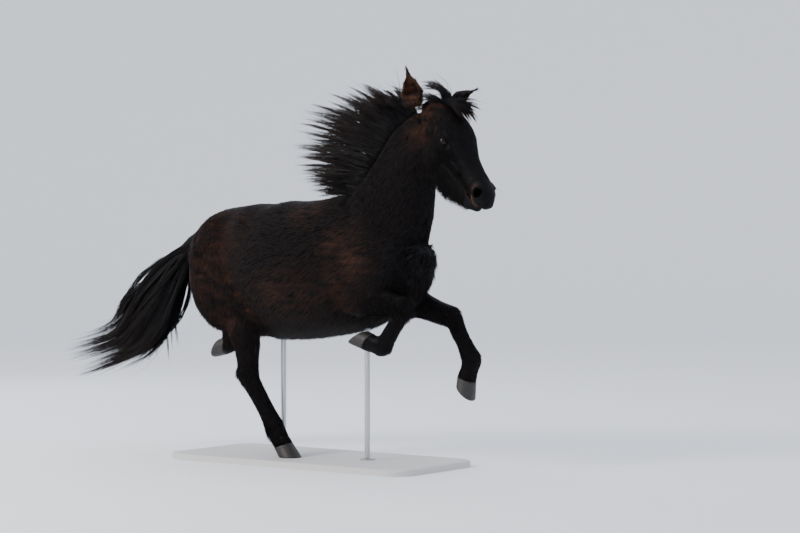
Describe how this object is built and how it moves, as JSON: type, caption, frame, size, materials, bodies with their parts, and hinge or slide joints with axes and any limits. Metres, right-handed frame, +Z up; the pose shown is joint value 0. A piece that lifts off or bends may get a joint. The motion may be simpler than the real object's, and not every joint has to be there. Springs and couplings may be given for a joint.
{
  "type": "icelandic horse model",
  "caption": "Life-size still model of an Icelandic horse at a gallop in thick winter coat, carried by a plain display stand with a flat base and rods.",
  "frame": {"origin": "centre of the underside of the stand's base, under the middle of the trunk", "axes": "+X the way the horse goes, +Y its left, +Z up"},
  "size_m": [2.5116, 0.6443, 1.8806],
  "materials": {
    "winter_coat": "thick winter coat, black-brown, rusty at the flank, elbow and behind the ear",
    "long_hair": "black long hair with sun-bleached brown tips",
    "eye": "wet dark brown eye",
    "hoof_horn": "dark grey hoof horn",
    "rod_steel": "brushed steel rod",
    "base_paint": "matt off-white paint"
  },
  "bodies": {
    "root": {"ear_left": "winter_coat", "ear_right": "winter_coat", "eye_left": "eye", "eye_right": "eye", "fore_cannon_left": "winter_coat", "fore_cannon_right": "winter_coat", "fore_hoof_left": "hoof_horn", "fore_hoof_right": "hoof_horn", "fore_pastern_left": "winter_coat", "fore_pastern_right": "winter_coat", "forearm_left": "winter_coat", "forearm_right": "winter_coat", "gaskin_right": "winter_coat", "head": "winter_coat", "hind_cannon_left": "winter_coat", "hind_cannon_right": "winter_coat", "hind_hoof_left": "hoof_horn", "hind_hoof_right": "hoof_horn", "hind_pastern_left": "winter_coat", "hind_pastern_right": "winter_coat", "neck": "winter_coat", "stand_base": "base_paint", "stand_rod_front": "rod_steel", "stand_rod_rear": "rod_steel", "tail": "long_hair", "torso": "winter_coat"}
  },
  "joints": []
}
